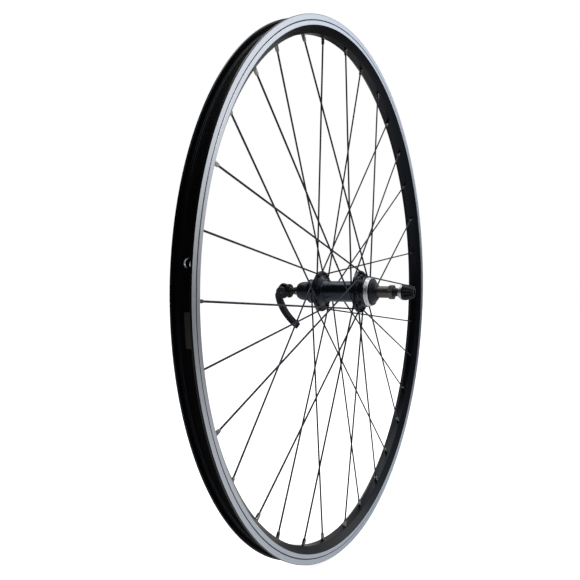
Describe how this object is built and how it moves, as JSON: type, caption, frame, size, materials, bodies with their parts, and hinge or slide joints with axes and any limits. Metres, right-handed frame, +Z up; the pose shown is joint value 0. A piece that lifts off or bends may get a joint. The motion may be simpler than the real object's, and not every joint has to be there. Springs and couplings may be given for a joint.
{
  "type": "quick-release rear bicycle wheel",
  "caption": "Spoked rear wheel with a rim-brake alloy rim, a hub threaded for a screw-on freewheel, a hollow axle and a quick-release skewer with cam lever.",
  "frame": {"origin": "where the hub's axis crosses the rim's centre plane", "axes": "+Y along the axle towards the quick-release lever, -Y towards the freewheel side, +Z up, +X forward or back"},
  "size_m": [0.6339, 0.1903, 0.634],
  "materials": {
    "rim_alloy": "black anodised, with bare machined brake tracks",
    "bare_alloy": "sawn extrusion",
    "rim_tape": "woven nylon tape",
    "label": "blank matt sticker",
    "nipple": "nickel plated, bright",
    "spoke": "black oxide, satin",
    "hub_alloy": "black anodised, semi-gloss",
    "bearing_steel": "ground",
    "dust_cap": "black satin",
    "ball": "polished",
    "cage": "pressed sheet",
    "axle_steel": "black oxide thread",
    "washer_steel": "zinc plated",
    "spacer": "turned, dark",
    "dark_nut": "dark zinc plating",
    "plated_nut": "zinc plated",
    "seal_rubber": "smooth black",
    "skewer_steel": "zinc plated",
    "spring_wire": "zinc plated wire",
    "lever_black": "black satin coating",
    "black_plastic": "moulded",
    "plated_steel": "zinc plated, toothed",
    "nut_black": "black satin coating",
    "nylon": "natural nylon"
  },
  "bodies": {
    "axle": {"axle": "axle_steel", "cone_drive": "bearing_steel", "cone_left": "bearing_steel", "lock_washer_drive": "washer_steel", "lock_washer_left": "washer_steel", "axle_spacer_drive": "spacer", "axle_spacer_left": "spacer", "locknut_drive": "dark_nut", "locknut_left": "plated_nut", "hub_seal_drive": "seal_rubber", "rubber_boot_left": "seal_rubber"},
    "wheel": {"rim": "rim_alloy", "rim_joint_sleeve": "bare_alloy", "rim_tape": "rim_tape", "rim_label": "label", "nipples": "nipple", "spokes_drive_outer": "spoke", "spokes_drive_inner": "spoke", "spokes_left_outer": "spoke", "spokes_left_inner": "spoke", "hub_shell": "hub_alloy", "bearing_cup_drive": "bearing_steel", "bearing_cup_left": "bearing_steel", "dust_cap_drive": "dust_cap", "dust_cap_left": "dust_cap"},
    "bearing_drive": {"balls_drive": "ball", "ball_cage_drive": "cage"},
    "bearing_left": {"balls_left": "ball", "ball_cage_left": "cage"},
    "skewer": {"skewer_rod": "skewer_steel", "cam_pin": "skewer_steel", "spring_left": "spring_wire"},
    "lever": {"lever": "lever_black"},
    "cup": {"lever_cup": "lever_black", "cam_washer": "black_plastic", "cup_face": "plated_steel"},
    "nut_spring": {"spring_drive": "spring_wire"},
    "nut": {"nut_body": "nut_black", "nut_face": "plated_steel", "nut_insert": "nylon"}
  },
  "joints": [
    {"name": "wheel_spin", "type": "hinge", "parent": "axle", "child": "wheel", "pos_m": [0, 0, 0], "axis": [0, 1, 0], "continuous": true},
    {"name": "balls_drive_orbit", "type": "hinge", "parent": "axle", "child": "bearing_drive", "pos_m": [0, -0.033, 0], "axis": [0, 1, 0], "continuous": true},
    {"name": "balls_left_orbit", "type": "hinge", "parent": "axle", "child": "bearing_left", "pos_m": [0, 0.0406, 0], "axis": [0, 1, 0], "continuous": true},
    {"name": "skewer_turn", "type": "hinge", "parent": "axle", "child": "skewer", "pos_m": [0, 0, 0], "axis": [0, 1, 0], "continuous": true},
    {"name": "lever_swing", "type": "hinge", "parent": "skewer", "child": "lever", "pos_m": [0, 0.088, 0], "axis": [0.829, 0, 0.5592], "range_deg": [0, 135]},
    {"name": "cup_slide", "type": "slide", "parent": "skewer", "child": "cup", "axis": [0, 1, 0], "range_m": [0, 0.0015]},
    {"name": "nut_travel", "type": "slide", "parent": "skewer", "child": "nut_spring", "axis": [0, -1, 0], "range_m": [0, 0.0032]},
    {"name": "nut_turn", "type": "hinge", "parent": "nut_spring", "child": "nut", "pos_m": [0, -0.08, 0], "axis": [0, -1, 0], "range_deg": [0, 1440]}
  ],
  "couplings": [
    {"joint": "balls_drive_orbit", "follows": "wheel_spin", "ratio": 0.6134},
    {"joint": "balls_left_orbit", "follows": "wheel_spin", "ratio": 0.6134},
    {"joint": "cup_slide", "follows": "lever_swing", "m_per_rad": 0.0006366},
    {"joint": "nut_travel", "follows": "nut_turn", "m_per_rad": 0.00012732}
  ]
}
